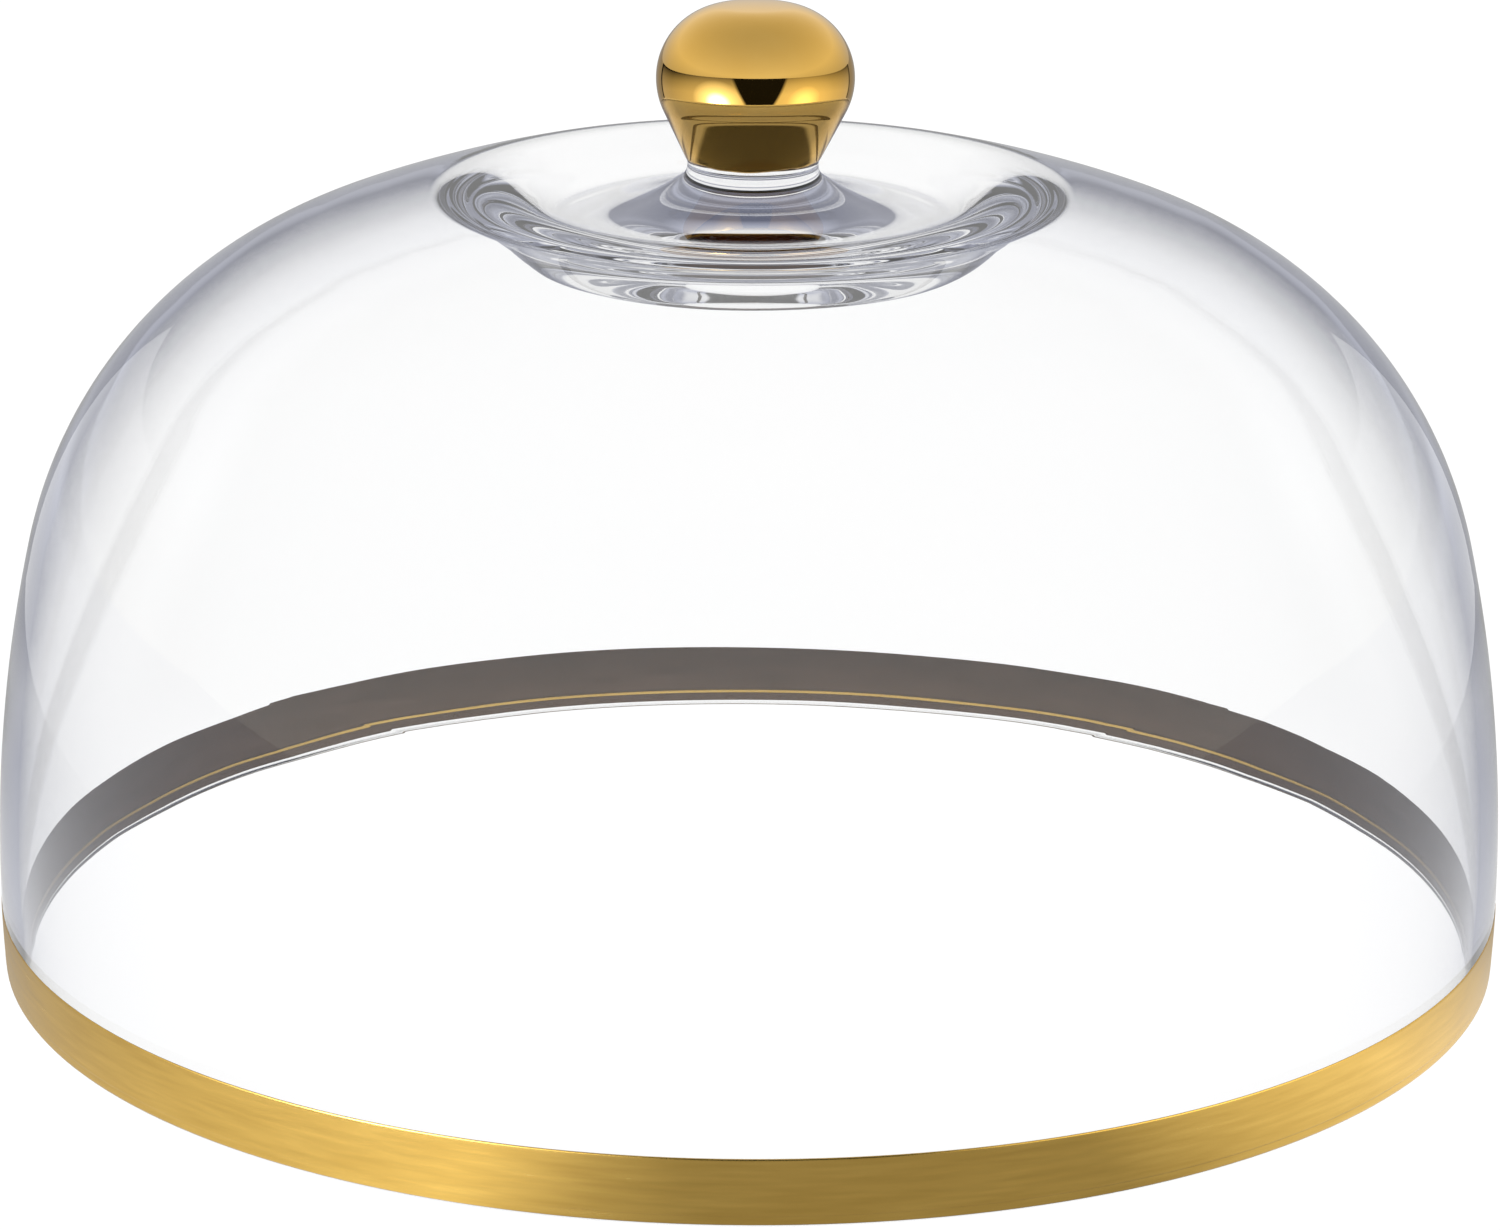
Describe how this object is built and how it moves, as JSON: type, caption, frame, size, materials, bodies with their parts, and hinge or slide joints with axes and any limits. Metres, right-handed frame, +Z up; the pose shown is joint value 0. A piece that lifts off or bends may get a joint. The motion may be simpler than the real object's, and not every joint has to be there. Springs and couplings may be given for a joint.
{
  "type": "glass cloche",
  "caption": "Clear glass dome cover with a rounded crown, a solid ball knob coated in gold, and a gold band round its rolled rim; sets down over a plate or stand.",
  "frame": {"origin": "centre of the circle on which the rim rests, at the table's surface", "axes": "+Z up along the axis of the dome and the knob; any direction round it may be +X"},
  "size_m": [0.2802, 0.2802, 0.1784],
  "materials": {
    "clear_glass": "clear hand-blown glass, fire polished, faintly rippled at the crown",
    "gold_leaf": "bright liquid gold fired on glass, mirror smooth",
    "gold_band": "liquid gold fired on glass, soft satin sheen, brown where seen through the glass"
  },
  "bodies": {
    "root": {"dome_shell": "clear_glass", "knob_core": "clear_glass", "knob_gilding": "gold_leaf", "rim_gilding": "gold_band"}
  },
  "joints": []
}
